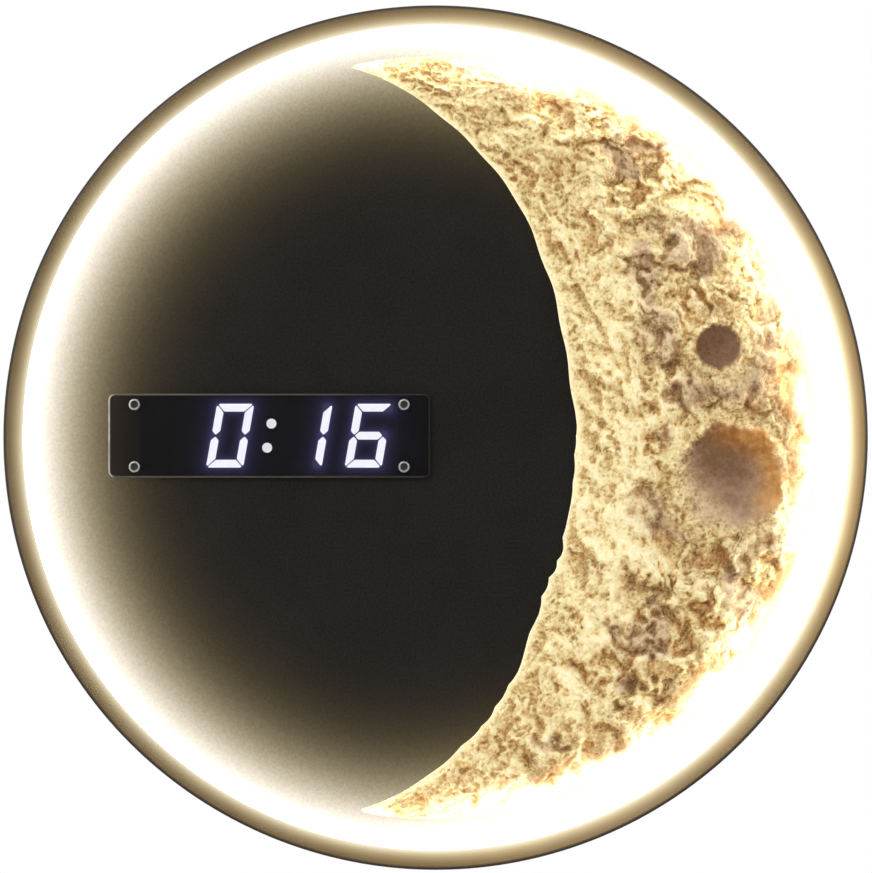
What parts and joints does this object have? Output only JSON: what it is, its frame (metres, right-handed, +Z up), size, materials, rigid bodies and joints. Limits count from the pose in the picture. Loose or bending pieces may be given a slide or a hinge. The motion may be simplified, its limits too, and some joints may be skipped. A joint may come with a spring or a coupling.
{
  "type": "led wall clock",
  "caption": "Round wall clock: a deep dark metal hoop with a hidden LED ring that lights a cast crescent-moon relief, and a seven-segment time display behind a tinted lens.",
  "frame": {"origin": "centre of the rear cover's outer face, on the wall plane", "axes": "+Z up as hung, +X to the viewer's right, +Y into the wall, so the clock faces -Y"},
  "size_m": [0.4, 0.05, 0.4],
  "materials": {
    "hoop_paint": "dark bronze-black paint",
    "panel_paint": "matte black, fine grain",
    "cover_paint": "black powder coat",
    "moon_cast": "cast mineral resin, sandy",
    "opal_plastic": "opal, lit from behind",
    "strip_board": "white flexible circuit",
    "tinted_acrylic": "smoke tint, clear",
    "steel": "zinc plated",
    "brass": "plain",
    "black_plastic": "moulded",
    "light_guide": "milky, lit",
    "circuit_board": "green solder mask",
    "white_plastic": "moulded",
    "rubber": "moulded"
  },
  "bodies": {
    "clock": {"rim_hoop": "hoop_paint", "face_panel": "panel_paint", "rear_cover": "cover_paint", "spacer_ring": "cover_paint", "moon_relief": "moon_cast", "light_diffuser": "opal_plastic", "led_strip": "strip_board", "display_lens": "tinted_acrylic", "lens_screw_1": "steel", "lens_screw_2": "steel", "lens_screw_3": "steel", "lens_screw_4": "steel", "cover_screw_1": "steel", "cover_screw_2": "steel", "cover_screw_3": "steel", "cover_screw_4": "steel", "cover_screw_5": "steel", "cover_screw_6": "steel", "cover_pillar_1": "steel", "cover_pillar_2": "steel", "cover_pillar_3": "steel", "cover_pillar_4": "steel", "cover_pillar_5": "steel", "cover_pillar_6": "steel", "driver_screw_1": "steel", "driver_screw_2": "steel", "hanger_plate_left": "steel", "hanger_plate_right": "steel", "quartz_crystal": "steel", "backup_cell": "steel", "board_standoff_1": "brass", "board_standoff_2": "brass", "board_standoff_3": "brass", "board_standoff_4": "brass", "display_block": "black_plastic", "clock_chip": "black_plastic", "cell_holder": "black_plastic", "set_switch": "black_plastic", "up_switch": "black_plastic", "down_switch": "black_plastic", "digit_guide_1": "light_guide", "digit_guide_2": "light_guide", "digit_guide_3": "light_guide", "digit_guide_4": "light_guide", "colon_guide": "light_guide", "clock_board": "circuit_board", "power_socket": "white_plastic", "driver_case": "white_plastic", "driver_lid": "white_plastic", "terminal_block": "white_plastic", "cable_bush": "rubber", "supply_lead": "rubber", "clock_lead": "rubber", "strip_lead": "rubber"},
    "set_button": {"set_button": "white_plastic"},
    "up_button": {"up_button": "white_plastic"},
    "down_button": {"down_button": "white_plastic"}
  },
  "joints": [
    {"name": "set_button_press", "type": "slide", "parent": "clock", "child": "set_button", "axis": [0, -1, 0], "range_m": [0, 0.0005], "stiffness_N_per_m": 500},
    {"name": "up_button_press", "type": "slide", "parent": "clock", "child": "up_button", "axis": [0, -1, 0], "range_m": [0, 0.0005], "stiffness_N_per_m": 500},
    {"name": "down_button_press", "type": "slide", "parent": "clock", "child": "down_button", "axis": [0, -1, 0], "range_m": [0, 0.0005], "stiffness_N_per_m": 500}
  ]
}
